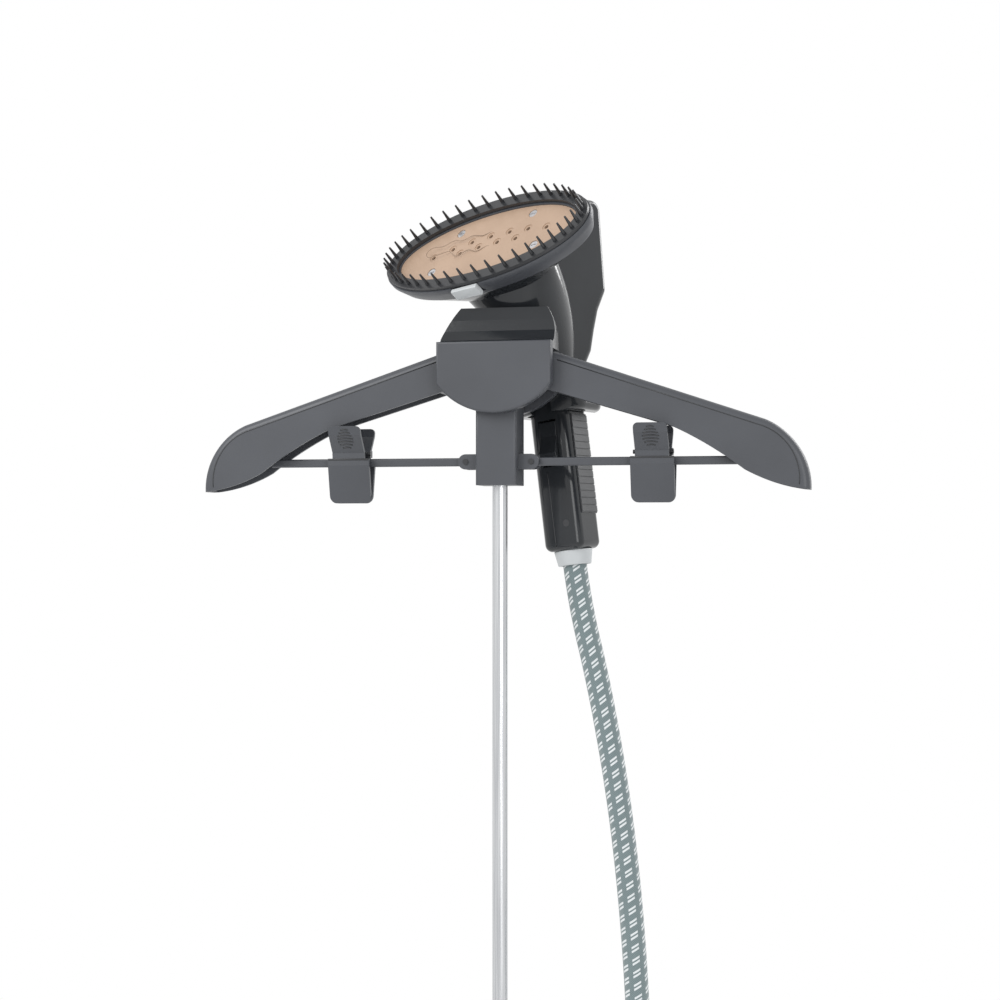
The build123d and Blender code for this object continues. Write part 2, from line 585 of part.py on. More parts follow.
def brush_ring():
    ring = oval(BEZEL_A - 1, BEZEL_B - 1, 1.8, 4.6) - oval(PLATE_A + 1.5, PLATE_B + 1.5, 1, 6)
    for k in range(BRISTLES):
        turn = 2 * pi * (k + 0.5) / BRISTLES
        spot = Pos(BRISTLE_A * cos(turn), BRISTLE_B * sin(turn))
        foot = plate_plane(4.0) * spot * Circle(1.5)
        tip = plate_plane(15.5) * spot * Circle(0.7)
        ring += loft([foot, tip])
    return ring


def brush_latch():
    """Snap tab of the brush ring, hooked over the lower edge of the bezel."""
    tab = extrude(plate_plane(-7.5) * Pos(LATCH_X, -BEZEL_B - 1.0) * Rectangle(22, 3.4), 9.3)
    return fillet(tab.edges().filter_by(lambda e: e.length > 20), 0.8)


def trigger():
    y, z = TRIGGER_PIVOT
    outline = [(y + 2, z + 3), (y + 2, z - 26), (y - 9, z - 27), (y - 12, z - 20), (y - 7.5, z - 8), (y - 6.8, z + 3)]
    body = slab_yz(outline, -7, 7)
    return body - cylinder_x(y, z, -8, 8, 1.58)


def trigger_pin():
    y, z = TRIGGER_PIVOT
    return cylinder_x(y, z, -7.4, 7.4, 1.5)


def grip_pad():
    """Ribbed rubber pad round the back and both sides of the handle."""
    z0, z1 = 26.0, 100.0
    half_w, half_d = HANDLE_HALF_W + 0.8, HANDLE_HALF_D + 0.8
    sleeve = Pos(0, 0, z0) * extrude(RectangleRounded(2 * half_w, 2 * half_d, 8), z1 - z0)
    for k in range(14):
        band = RectangleRounded(2 * half_w + 0.8, 2 * half_d + 0.8, 8.2)
        sleeve += Pos(0, 0, z0 + 1 + k * 5.2) * extrude(band, 4.3)
    sleeve -= block(-40, 40, -40, -10, 0, 130)
    handle = extrude(RectangleRounded(2 * HANDLE_HALF_W, 2 * HANDLE_HALF_D, 7.5), 130)
    return sleeve - handle


def hose_collar():
    depth = 11.0
    taper = Pos(0, 0, -depth / 2) * Cone(12.2, 14.2, depth)
    return taper - cylinder_z(0, 0, -depth - 1, 1, HOSE_R + 0.6)


def cradle_fork():
    """Cup at the back of the bracket that the top of the handle hangs in, open to the rear."""
    z0, z1 = 101.5, 127.0
    cup = Pos(0, 3, z0) * extrude(RectangleRounded(56, 58, 20), z1 - z0)
    cup = fillet(cup.edges().group_by(Axis.Z)[0], 4)
    gap = 1.9
    slot = Pos(0, 0, z0 - 1) * extrude(
        RectangleRounded(2 * (HANDLE_HALF_W + gap), 2 * (HANDLE_HALF_D + gap), 8), z1 - z0 + 2
    )
    mouth = block(-HANDLE_HALF_W - gap, HANDLE_HALF_W + gap, 0, 60, z0 - 1, z1 + 1)
    bracket_side = block(-90, 90, POLE_Y - 90, POLE_Y + CHEEK_OUT, ROD_Z - 60, ROD_Z + 120)
    trigger_way = block(-8.4, 8.4, -60, 0, z0 - 1, z0 + 9)
    return HEAD * (cup - slot - mouth - trigger_way) - bracket_side


# ---------------------------------------------------------------- hose
def corner_radii(route):
    radii = []
    for before, here, after in zip(route, route[1:], route[2:]):
        a = Vector(*here) - Vector(*before)
        b = Vector(*after) - Vector(*here)
        turn = a.get_angle(b)
        radii.append(0.45 * min(a.length, b.length) / tan(radians(turn) / 2))
    return radii


def steam_hose():
    radii = corner_radii(HOSE_ROUTE)
    path = FilletPolyline(*HOSE_ROUTE, radius=radii)
    section = Plane(origin=path @ 0, z_dir=path % 0) * Circle(HOSE_R)
    tube = sweep(section, path=path)
    print("hose radii", [round(r) for r in radii])
    print("hose length", round(path.length, 1), "volume ratio", round(tube.volume / (pi * HOSE_R**2 * path.length), 4))
    return tube


# ---------------------------------------------------------------- write the parts
def in_head(solid):
    return HEAD * solid


PARTS = {
    "base_tray": base_tray(),
    "base_cover": base_cover(),
    "pole_socket": pole_socket(),
    "wheel_right": wheel(1),
    "wheel_left": wheel(-1),
    "wheel_axle": wheel_axle(),
    "front_feet": front_feet(),
    "boiler": boiler(),
    "heating_element": heating_element(),
    "steam_pipe": steam_pipe(),
    "valve_seat": valve_seat(),
    "tank_shell": tank_shell(),
    "tank_valve": tank_valve(),
    "tank_cap": tank_cap(),
    "tank_handle": tank_handle(),
    "power_dial": power_dial(),
    "pilot_lens": pilot_lens(),
    "inlet_gland": inlet_gland(),
    "hose_port": hose_port(),
    "hose_relief": hose_relief(),
    "pole_lower": pole_lower(),
    "pole_upper": pole_upper(),
    "lock_body": lock_body(),
    "lock_lever": lock_lever(),
    "lock_pin": lock_pin(),
    "bracket_front": bracket_front(),
    "bracket_rear": bracket_rear(),
    "rest_tray": rest_tray(),
    "cradle_fork": cradle_fork(),
    "rod_carrier": rod_carrier(),
    "arm_pins": arm_pins(),
    "rod_pins": rod_pins(),
    "arm_right": arm_right(),
    "arm_left": left_of(arm_right()),
    "rod_right": rod_right(),
    "rod_left": left_of(rod_right()),
    "clip_right_front": clip_jaw(-1),
    "clip_right_rear": clip_jaw(1),
    "clip_left_front": left_of(clip_jaw(-1)),
    "clip_left_rear": left_of(clip_jaw(1)),
    "clip_right_pin": clip_pin(),
    "clip_left_pin": left_of(clip_pin()),
    "clip_right_spring": clip_spring(),
    "clip_left_spring": left_of(clip_spring()),
    "head_casing": in_head(head_casing()),
    "head_hood": head_hood(),
    "head_bezel": in_head(head_bezel()),
    "steam_plate": in_head(steam_plate()),
    "plate_screws": in_head(plate_screws()),
    "brush_ring": in_head(brush_ring()),
    "brush_latch": in_head(brush_latch()),
    "trigger": in_head(trigger()),
    "trigger_pin": in_head(trigger_pin()),
    "grip_pad": in_head(grip_pad()),
    "hose_collar": in_head(hose_collar()),
    "steam_hose": steam_hose(),
}

os.makedirs("parts", exist_ok=True)
for name, solid in PARTS.items():
    export_step(solid, f"parts/{name}.step")
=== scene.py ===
"""Looks of the upright garment steamer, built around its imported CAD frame. Metres throughout."""
import json
from math import atan2, cos, hypot, pi, radians, sin, tan

import bmesh
import bpy
from mathutils import Matrix, Vector


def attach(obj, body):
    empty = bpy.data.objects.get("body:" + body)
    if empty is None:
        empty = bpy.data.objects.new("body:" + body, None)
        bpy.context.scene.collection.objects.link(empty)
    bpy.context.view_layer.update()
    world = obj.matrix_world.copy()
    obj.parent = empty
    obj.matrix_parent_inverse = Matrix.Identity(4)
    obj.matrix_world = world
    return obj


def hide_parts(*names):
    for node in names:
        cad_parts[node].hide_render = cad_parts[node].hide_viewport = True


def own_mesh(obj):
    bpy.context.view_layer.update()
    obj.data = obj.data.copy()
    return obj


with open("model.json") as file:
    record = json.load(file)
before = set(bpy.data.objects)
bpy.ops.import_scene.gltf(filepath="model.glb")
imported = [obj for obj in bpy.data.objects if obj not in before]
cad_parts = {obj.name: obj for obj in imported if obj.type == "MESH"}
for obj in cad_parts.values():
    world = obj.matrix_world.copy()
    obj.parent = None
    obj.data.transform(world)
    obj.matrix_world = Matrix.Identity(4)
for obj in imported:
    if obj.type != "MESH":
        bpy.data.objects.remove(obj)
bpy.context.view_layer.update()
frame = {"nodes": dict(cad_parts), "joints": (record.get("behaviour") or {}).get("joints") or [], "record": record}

# ---------------------------------------------------------------- places read from the frame
JOINTS = {joint["name"]: joint for joint in frame["joints"]}
LOCK_PIN_TO_POLE = 0.019
POLE_Y = JOINTS["lock_flip"]["pos_m"][1] + LOCK_PIN_TO_POLE
ROD_Z = JOINTS["rod_right_fold"]["pos_m"][2]

# the steam head's own frame: x to its right, y backwards, z up along the handle
HEAD_X = Vector(JOINTS["trigger_press"]["axis"]).normalized()
HEAD_Z = Vector(JOINTS["head_lift"]["axis"]).normalized()
HEAD_Y = HEAD_Z.cross(HEAD_X)
TRIGGER_AT = Vector((0.0, -0.011, 0.092))
HEAD_TURN = Matrix((HEAD_X, HEAD_Y, HEAD_Z)).transposed()
HEAD_FOOT = Vector(JOINTS["trigger_press"]["pos_m"]) - HEAD_TURN @ TRIGGER_AT
HEAD = Matrix.Translation(HEAD_FOOT) @ HEAD_TURN.to_4x4()

# frame of the steam plate's contour line on the head: x along the plate, z out of it; the plate is spun
# about the head's z and not about its own, so its face lies about 4 degrees askew of this frame
PLATE_CENTRE = (-0.009, -0.060, 0.225)
PLATE_TILT = radians(35)
PLATE_Z = Vector((0, -cos(PLATE_TILT), sin(PLATE_TILT)))
PLATE_TURN = Matrix((Vector((1, 0, 0)), PLATE_Z.cross(Vector((1, 0, 0))), PLATE_Z)).transposed()
PLATE_SPIN = Matrix.Rotation(radians(-5), 4, "Z")
PLATE = HEAD @ Matrix.Translation(PLATE_CENTRE) @ PLATE_TURN.to_4x4() @ PLATE_SPIN


# ---------------------------------------------------------------- camera
CAMERA_AZIMUTH = radians(12.0)
CAMERA_ELEVATION = radians(-1.0)
CAMERA_DISTANCE = 1.30
CAMERA_AIM = Vector((0.0, POLE_Y, 1.3726))


def make_camera():
    """The hanger and the steam head, seen from the front and a little from their right."""
    level = cos(CAMERA_ELEVATION)
    away = Vector((sin(CAMERA_AZIMUTH) * level, -cos(CAMERA_AZIMUTH) * level, sin(CAMERA_ELEVATION)))
    data = bpy.data.cameras.new("camera")
    data.lens = 65.0
    data.clip_end = 60
    camera = bpy.data.objects.new("camera", data)
    bpy.context.collection.objects.link(camera)
    camera.location = CAMERA_AIM + CAMERA_DISTANCE * away
    camera.rotation_euler = away.to_track_quat("Z", "Y").to_euler()
    bpy.context.scene.camera = camera


# ---------------------------------------------------------------- material helper
class Shade:
    """A node material under construction, with short calls for the nodes that are used here."""

    def __init__(self, name, color, roughness, metallic=0.0, **extra):
        self.material = bpy.data.materials.new(name)
        self.material.use_nodes = True
        self.tree = self.material.node_tree
        self.shader = self.tree.nodes["Principled BSDF"]
        self.set("Base Color", (*color, 1.0))
        self.set("Roughness", roughness)
        self.set("Metallic", metallic)
        for socket, value in extra.items():
            self.set(socket.replace("_", " "), value)

    def set(self, socket, value):
        self.shader.inputs[socket].default_value = value

    def node(self, kind, **inputs):
        made = self.tree.nodes.new(kind)
        for socket, value in inputs.items():
            self.feed(made.inputs[socket.replace("_", " ")], value)
        return made

    def feed(self, socket, value):
        if isinstance(value, bpy.types.NodeSocket):
            self.tree.links.new(value, socket)
        else:
            socket.default_value = value

    def math(self, operation, a, b=0.0, c=0.0):
        made = self.tree.nodes.new("ShaderNodeMath")
        made.operation = operation
        for socket, value in zip(made.inputs, (a, b, c)):
            self.feed(socket, value)
        return made.outputs[0]

    def object_place(self, stretch=(1, 1, 1)):
        place = self.node("ShaderNodeTexCoord").outputs["Object"]
        mapping = self.node("ShaderNodeMapping", Vector=place, Scale=stretch)
        return mapping.outputs["Vector"]

    def noise(self, scale, detail=3.0, stretch=(1, 1, 1)):
        made = self.node("ShaderNodeTexNoise", Vector=self.object_place(stretch), Scale=scale, Detail=detail)
        return made.outputs["Fac"]

    def ramp(self, factor, low, high, start=0.3, end=0.7):
        made = self.node("ShaderNodeValToRGB", Fac=factor)
        made.color_ramp.elements[0].color = (*low, 1.0)
        made.color_ramp.elements[1].color = (*high, 1.0)
        made.color_ramp.elements[0].position = start
        made.color_ramp.elements[1].position = end
        return made.outputs["Color"]

    def spread(self, factor, low, high):
        made = self.node("ShaderNodeMapRange", Value=factor, To_Min=low, To_Max=high)
        return made.outputs["Result"]

    def color(self, value):
        self.feed(self.shader.inputs["Base Color"], value)

    def roughness(self, value):
        self.feed(self.shader.inputs["Roughness"], value)

    def bump(self, height, depth, strength=1.0):
        made = self.node("ShaderNodeBump", Height=height, Distance=depth, Strength=strength)
        self.feed(self.shader.inputs["Normal"], made.outputs["Normal"])


def moulded(name, dark, light, rough_low, rough_high, grain, depth):
    """Moulded plastic: a faint cloud in colour and gloss, and a fine spark-eroded grain."""
    shade = Shade(name, light, rough_high)
    cloud = shade.noise(14.0, 4.0)
    shade.color(shade.ramp(cloud, dark, light))
    shade.roughness(shade.spread(shade.noise(38.0, 5.0), rough_low, rough_high))
    shade.bump(shade.noise(grain, 2.0), depth, 0.6)
    return shade


def satin_black():
    dark, light = (0.042, 0.045, 0.052), (0.054, 0.058, 0.067)
    return moulded("satin_black", dark, light, 0.34, 0.50, 2600.0, 0.00006).material


def gloss_black():
    shade = moulded("gloss_black", (0.012, 0.014, 0.016), (0.020, 0.022, 0.025), 0.07, 0.22, 420.0, 0.00004)
    shade.set("Specular IOR Level", 0.3)
    shade.set("Coat Weight", 0.2)
    shade.set("Coat Roughness", 0.08)
    return shade.material


def tube_metal():
    shade = Shade("tube_metal", (0.80, 0.81, 0.83), 0.25, 1.0)
    streaks = shade.noise(9.0, 6.0, (160, 160, 1.5))
    shade.color(shade.ramp(streaks, (0.46, 0.47, 0.49), (0.66, 0.67, 0.68)))
    shade.roughness(shade.spread(streaks, 0.18, 0.36))
    shade.bump(streaks, 0.00004, 0.5)
    return shade.material


def plate_champagne():
    shade = Shade("plate_champagne", (0.50, 0.36, 0.26), 0.42, 0.15)
    speckle = shade.noise(1900.0, 2.0)
    cloud = shade.noise(30.0, 3.0)
    mixed = shade.math("MULTIPLY_ADD", speckle, 0.35, shade.math("MULTIPLY", cloud, 0.65))
    shade.color(shade.ramp(mixed, (0.375, 0.262, 0.185), (0.42, 0.296, 0.212), 0.35, 0.62))
    shade.roughness(shade.spread(speckle, 0.30, 0.48))
    shade.bump(speckle, 0.00005, 0.5)
    return shade.material


# painted shade: a darker tone for the engraved contour line on the steam plate, standing in for the shade inside
# its groove
def plate_groove():
    shade = Shade("plate_groove", (0.25, 0.17, 0.12), 0.6)
    shade.color(shade.ramp(shade.noise(300.0), (0.20, 0.14, 0.10), (0.31, 0.22, 0.16)))
    return shade.material


def light_grey():
    return moulded("light_grey", (0.40, 0.42, 0.43), (0.48, 0.50, 0.51), 0.38, 0.55, 1800.0, 0.00005).material


def rubber_black():
    dark, light = (0.030, 0.032, 0.035), (0.048, 0.050, 0.054)
    return moulded("rubber_black", dark, light, 0.45, 0.65, 1500.0, 0.00012).material


def nylon_black():
    dark, light = (0.016, 0.017, 0.019), (0.028, 0.029, 0.032)
    return moulded("nylon_black", dark, light, 0.28, 0.42, 2200.0, 0.00004).material


def tank_smoke():
    shade = Shade("tank_smoke", (0.42, 0.47, 0.50), 0.08, 0.0, Transmission_Weight=0.85, IOR=1.2)
    cloud = shade.noise(8.0, 3.0)
    shade.color(shade.ramp(cloud, (0.40, 0.45, 0.49), (0.52, 0.57, 0.60)))
    shade.roughness(shade.spread(shade.noise(90.0, 4.0), 0.04, 0.14))
    shade.bump(shade.noise(60.0, 2.0), 0.0001, 0.4)
    return shade.material


def brushed_steel():
    shade = Shade("steel", (0.62, 0.62, 0.63), 0.3, 1.0)
    streaks = shade.noise(40.0, 5.0, (1, 30, 30))
    shade.color(shade.ramp(streaks, (0.50, 0.50, 0.52), (0.72, 0.72, 0.73)))
    shade.roughness(shade.spread(streaks, 0.22, 0.42))
    return shade.material


def cast_alloy():
    shade = Shade("cast_alloy", (0.55, 0.55, 0.56), 0.55, 1.0)
    pits = shade.noise(700.0, 6.0)
    shade.color(shade.ramp(pits, (0.46, 0.46, 0.47), (0.62, 0.62, 0.63)))
    shade.bump(pits, 0.0004, 0.7)
    return shade.material


def valve_white():
    return moulded("valve_white", (0.70, 0.70, 0.68), (0.82, 0.82, 0.80), 0.35, 0.5, 1200.0, 0.00005).material


def lamp_amber():
    shade = Shade("lamp_amber", (0.85, 0.35, 0.05), 0.15, 0.0, Transmission_Weight=0.4)
    shade.color(shade.ramp(shade.noise(400.0), (0.75, 0.28, 0.03), (0.92, 0.45, 0.10)))
    return shade.material


# stitches of the hose: columns round it, pairs along each column, then shares of a pair's pitch
FLECK_COLUMNS = 6
FLECK_PITCH = 0.0090
FLECK_SLANT = -0.52
FLECK_STAGGER = 1.0 / 3.0
STITCH_OFF_MIDDLE = 0.155
STITCH_HALF_HEIGHT = 0.088
# half a stitch's width as a share of its column
STITCH_HALF_WIDTH = 0.30
WARP_THREADS = 42
WEFT_PITCH = 0.0013
# sockets of a mix node that mixes two colours
MIX_FACTOR, MIX_FIRST, MIX_SECOND, MIX_RESULT = 0, 6, 7, 2


def hose_weave():
    """Braided sleeve: a fine over-and-under weave with pairs of short pale slanted stitches."""
    shade = Shade("hose_weave", (0.16, 0.21, 0.22), 0.85, 0.0, Sheen_Weight=0.35)
    uv = shade.node("ShaderNodeUVMap")
    uv.uv_map = "along"
    split = shade.node("ShaderNodeSeparateXYZ", Vector=uv.outputs["UV"])
    around, along = split.outputs["X"], split.outputs["Y"]
    lanes = shade.math("MULTIPLY_ADD", around, float(FLECK_COLUMNS), 0.5)
    column = shade.math("FLOOR", lanes)
    across = shade.math("SUBTRACT", shade.math("FRACT", lanes), 0.5)
    rows = shade.math("MULTIPLY_ADD", column, FLECK_STAGGER, shade.math("DIVIDE", along, FLECK_PITCH))
    upward = shade.math("SUBTRACT", shade.math("FRACT", rows), 0.5)
    slanted = shade.math("MULTIPLY_ADD", across, FLECK_SLANT, upward)
    off_middle = shade.math("ABSOLUTE", slanted)
    off_stitch = shade.math("ABSOLUTE", shade.math("SUBTRACT", off_middle, STITCH_OFF_MIDDLE))
    in_height = shade.math("LESS_THAN", off_stitch, STITCH_HALF_HEIGHT)
    in_width = shade.math("LESS_THAN", shade.math("ABSOLUTE", across), STITCH_HALF_WIDTH)
    fleck = shade.math("MULTIPLY", in_height, in_width)
    warp = shade.math("SINE", shade.math("MULTIPLY", around, 2 * pi * WARP_THREADS))
    weft = shade.math("SINE", shade.math("MULTIPLY", along, 2 * pi / WEFT_PITCH))
    weave = shade.math("MULTIPLY_ADD", shade.math("MULTIPLY", warp, weft), 0.5, 0.5)
    ground = shade.ramp(weave, (0.075, 0.105, 0.112), (0.20, 0.255, 0.262), 0.1, 0.9)
    stitch = shade.ramp(weave, (0.46, 0.49, 0.50), (0.66, 0.69, 0.70), 0.0, 0.8)
    mix = shade.node("ShaderNodeMix")
    mix.data_type = "RGBA"
    shade.feed(mix.inputs[MIX_FACTOR], fleck)
    shade.feed(mix.inputs[MIX_FIRST], ground)
    shade.feed(mix.inputs[MIX_SECOND], stitch)
    shade.color(mix.outputs[MIX_RESULT])
    height = shade.math("MULTIPLY_ADD", fleck, 0.6, weave)
    shade.bump(height, 0.0003, 0.8)
    return shade.material


MATERIALS = {
    "satin_black": satin_black(),
    "gloss_black": gloss_black(),
    "tube_metal": tube_metal(),
    "plate_champagne": plate_champagne(),
    "plate_groove": plate_groove(),
    "light_grey": light_grey(),
    "hose_weave": hose_weave(),
    "rubber_black": rubber_black(),
    "nylon_black": nylon_black(),
    "tank_smoke": tank_smoke(),
    "steel": brushed_steel(),
    "cast_alloy": cast_alloy(),
    "valve_white": valve_white(),
    "lamp_amber": lamp_amber(),
}
SLOT_OF = {entry["node"]: entry["material_slot"] for entry in frame["record"]["subparts"]}


def dress_cad_nodes():
    """Every CAD node gets the detailed material of its slot."""
    for name, obj in frame["nodes"].items():
        for material_slot in obj.material_slots:
            material_slot.material = MATERIALS[SLOT_OF[name]]


ROUNDED_EDGES = {
    "bracket_front": 0.0012, "bracket_rear": 0.0012, "rod_carrier": 0.0010, "rest_tray": 0.0012,
    "cradle_fork": 0.0010, "arm_left": 0.0007, "arm_right": 0.0007,
    "clip_left_front": 0.0006, "clip_left_rear": 0.0006,
    "clip_right_front": 0.0006, "clip_right_rear": 0.0006,
    "head_bezel": 0.0006, "head_casing": 0.0006, "head_hood": 0.0006, "brush_latch": 0.0004,
    "trigger": 0.0008, "hose_collar": 0.0006, "steam_plate": 0.0002, "hose_port": 0.0008,
    "hose_relief": 0.0005, "lock_body": 0.0006, "lock_lever": 0.0006, "pole_lower": 0.0003,
    "base_cover": 0.0006, "base_tray": 0.0006, "tank_handle": 0.0006, "power_dial": 0.0006,
    "pole_socket": 0.0006, "inlet_gland": 0.0006,
}


def round_edges():
    """Moulded corners: every sharp edge of these nodes gets a small round that catches the light."""
    for name, width in ROUNDED_EDGES.items():
        node = frame["nodes"][name]
        weld = node.modifiers.new("weld", "WELD")
        weld.merge_threshold = 0.00001
        bevel = node.modifiers.new("round", "BEVEL")
        bevel.width = width
        bevel.segments = 3
        bevel.limit_method = "ANGLE"
        bevel.angle_limit = radians(38)
        bevel.harden_normals = True


# ---------------------------------------------------------------- mesh helpers
def add_mesh(name, mesh, slot, body, look=None, smooth=True):
    """A piece that rides on a body: it has its slot's material, or the one that look names."""
    obj = bpy.data.objects.new(name, mesh)
    bpy.context.collection.objects.link(obj)
    mesh.materials.append(MATERIALS[look or slot])
    for face in mesh.polygons:
        face.use_smooth = smooth
    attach(obj, body)
    return obj


def tube_mesh(name, path, radius, sides=12, closed=False, open_start=False):
    """A round tube along a list of points, with a UV map of turn and distance called along."""
    work = bmesh.new()
    layer = work.loops.layers.uv.new("along")
    count = len(path)
    normal = None
    rings = []
    run = [0.0]
    for here, there in zip(path, path[1:]):
        run.append(run[-1] + (there - here).length)
    for index, point in enumerate(path):
        before = path[index - 1] if index or closed else point
        after = path[(index + 1) % count] if index < count - 1 or closed else point
        tangent = (after - before).normalized()
        if normal is None:
            normal = tangent.orthogonal().normalized()
        normal = (normal - tangent * normal.dot(tangent)).normalized()
        side = tangent.cross(normal)
        turns = [2 * pi * k / sides for k in range(sides)]
        rings.append([work.verts.new(point + radius * (cos(t) * normal + sin(t) * side)) for t in turns])
    spans = count if closed else count - 1
    for index in range(spans):
        low, high = rings[index], rings[(index + 1) % count]
        for k in range(sides):
            beside = (k + 1) % sides
            face = work.faces.new((low[k], low[beside], high[beside], high[k]))
            u0, u1 = k / sides, (k + 1) / sides
            v0, v1 = run[index], run[min(index + 1, count - 1)]
            for loop, uv in zip(face.loops, ((u0, v0), (u1, v0), (u1, v1), (u0, v1))):
                loop[layer].uv = uv
    if not closed:
        work.faces.new(rings[-1])
    if not closed and not open_start:
        work.faces.new(reversed(rings[0]))
    mesh = bpy.data.meshes.new(name)
    work.to_mesh(mesh)
    work.free()
    return mesh


def line_piece(name, path, radius, slot, body, look=None, closed=False):
    """A thin bead or groove line along a list of points."""
    return add_mesh(name, tube_mesh(name, path, radius, 8, closed), slot, body, look)


def block_mesh(name, centre, size, edge=0.0002):
    """A small block with its edges taken off, square to the axes."""
    work = bmesh.new()
    placed = Matrix.Translation(centre) @ Matrix.Diagonal((*size, 1.0))
    bmesh.ops.create_cube(work, size=1.0, matrix=placed)
    bmesh.ops.bevel(work, geom=work.edges[:], offset=edge, segments=2, affect="EDGES", profile=0.5)
    mesh = bpy.data.meshes.new(name)
    work.to_mesh(mesh)
    work.free()
    return mesh


# ---------------------------------------------------------------- hanger arms
ARM_ROOT = (0.024, 1.484)
ARM_SLOPE = tan(radians(18.6))
ARM_HALF_Y = 0.013
ARM_SHOULDER_X = 0.190
ARM_END_X = 0.2135
GROOVE_INSET = 0.0052
GROOVE_START_X = 0.044
GROOVE_DROP = 0.0055
GROOVE_BEND_RISE = 0.0065
GROOVE_END_DROP = 0.0175
GROOVE_R = 0.00035


def arc(start, middle, end, steps=18):
    """Points on the circle through three (x, z) points, from the first to the last."""
    (ax, az), (bx, bz), (cx, cz) = start, middle, end
    twice_area = 2 * (ax * (bz - cz) + bx * (cz - az) + cx * (az - bz))
    a2, b2, c2 = ax * ax + az * az, bx * bx + bz * bz, cx * cx + cz * cz
    ux = (a2 * (bz - cz) + b2 * (cz - az) + c2 * (az - bz)) / twice_area
    uz = (a2 * (cx - bx) + b2 * (ax - cx) + c2 * (bx - ax)) / twice_area
    radius = hypot(ax - ux, az - uz)
    first, last = atan2(az - uz, ax - ux), atan2(cz - uz, cx - ux)
    turns = [first + (last - first) * k / steps for k in range(steps + 1)]
    return [(ux + radius * cos(t), uz + radius * sin(t)) for t in turns]


def arm_grooves():
    """Parting line below each arm's top edge, front and rear, that bends down at the shoulder."""
    shoulder_x = ARM_SHOULDER_X - GROOVE_INSET
    top_z = ARM_ROOT[1] - GROOVE_DROP
    shoulder = (shoulder_x, top_z - (shoulder_x - ARM_ROOT[0]) * ARM_SLOPE)
    start = (GROOVE_START_X, top_z - (GROOVE_START_X - ARM_ROOT[0]) * ARM_SLOPE)
    bend = (ARM_END_X - GROOVE_INSET, ROD_Z + GROOVE_BEND_RISE)
    curve = arc(shoulder, bend, (ARM_END_X, ROD_Z - GROOVE_END_DROP))
    for side, body in ((1, "arm_r"), (-1, "arm_l")):
        for face, place in (("front", POLE_Y - ARM_HALF_Y), ("rear", POLE_Y + ARM_HALF_Y)):
            path = [Vector((side * x, place, z)) for x, z in [start] + curve]
            line_piece(f"groove_{body}_{face}", path, GROOVE_R, "satin_black", body, "nylon_black")


# ---------------------------------------------------------------- trouser clips
CLIP_X = 0.111
# front of a clip's thumb tab: how far it stands out from the rod, and how high over it
TAB_FOOT = (0.0091, 0.0070)
TAB_BEND = (0.0190, 0.0195)
TAB_TOP = (0.0214, 0.0260)
RIDGE_HALF_WIDTHS = (0.0030, 0.0046, 0.0056, 0.0058, 0.0052, 0.0040, 0.0026)
RIDGE_FIRST_RISE = 0.0105
RIDGE_PITCH = 0.0021
RIDGE_CROWN = 0.0006
RIDGE_HALF_SPANS = 4
RIDGE_R = 0.00050
STEP_REACH = 0.0090
STEP_RISE = 0.0024
STEP_SIZE = (0.0306, 0.0010, 0.0014)


def tab_reach(height):
    """How far the front of a clip's thumb tab stands out from the rod at a height over it."""
    low, high = (TAB_FOOT, TAB_BEND) if height < TAB_BEND[1] else (TAB_BEND, TAB_TOP)
    return low[0] + (high[0] - low[0]) * (height - low[1]) / (high[1] - low[1])


def clip_ridge(side, half_width, rise):
    """Points along one thumb ridge, highest in its middle."""
    path = []
    for step in range(-RIDGE_HALF_SPANS, RIDGE_HALF_SPANS + 1):
        across = step / RIDGE_HALF_SPANS * half_width
        height = rise + RIDGE_CROWN * (1 - (step / RIDGE_HALF_SPANS) ** 2)
        path.append(Vector((side * CLIP_X + across, POLE_Y - tab_reach(height), ROD_Z + height)))
    return path


def clip_details():
    """Thumb ridges on each front tab, and the dark step line across the jaw at the rod."""
    for side, body in ((1, "jaw_r"), (-1, "jaw_l")):
        for k, half_width in enumerate(RIDGE_HALF_WIDTHS):
            path = clip_ridge(side, half_width, RIDGE_FIRST_RISE + RIDGE_PITCH * k)
            line_piece(f"ridge_{body}_{k}", path, RIDGE_R, "satin_black", body, "nylon_black")
        centre = (side * CLIP_X, POLE_Y - STEP_REACH, ROD_Z + STEP_RISE)
        step_mesh = block_mesh(f"step_{body}", centre, STEP_SIZE)
        add_mesh(f"step_{body}", step_mesh, "satin_black", body, "nylon_black")


# ---------------------------------------------------------------- steam head
# arches that the steam holes lie on, with the x of each arch's crown and of a hole beside it
TOP_ROW_X = 0.002
TOP_ROW_Y = 0.0070
TOP_ROW_DROP = 0.0063
TOP_ROW_PITCH = 0.017
LOW_ROW_X = 0.0015
LOW_ROW_Y = -0.0008
LOW_ROW_CURVE = 0.67 / 0.279
LOW_ROW_HOLE_X = 0.00985
LOW_ROW_PITCH = 0.0167
# the contour line's least distance from each row, and how much further out it runs at a hole
TOP_GAP, TOP_WAVE = 0.0026, 0.0022
LOW_GAP, LOW_WAVE = 0.0016, 0.0032
# past the low row the line climbs to this far under the upper row
END_GAP = 0.0048
CLIMB_START, CLIMB_LENGTH = 0.035, 0.006
CONTOUR_REACH = 0.051
CONTOUR_STEPS = 110
CONTOUR_END_Y = 0.0007
CONTOUR_END_R = 0.0048
CONTOUR_END_TURNS = (1.1, 0.55, 0.0, -0.55, -1.1)
CONTOUR_LIFT = 0.00052
CONTOUR_R = 0.00025


def near_hole(x, hole_x, pitch):
    """1 where x is level with a hole of a row, and 0 halfway between two holes."""
    return 0.5 + 0.5 * cos(2 * pi * (x - hole_x) / pitch)


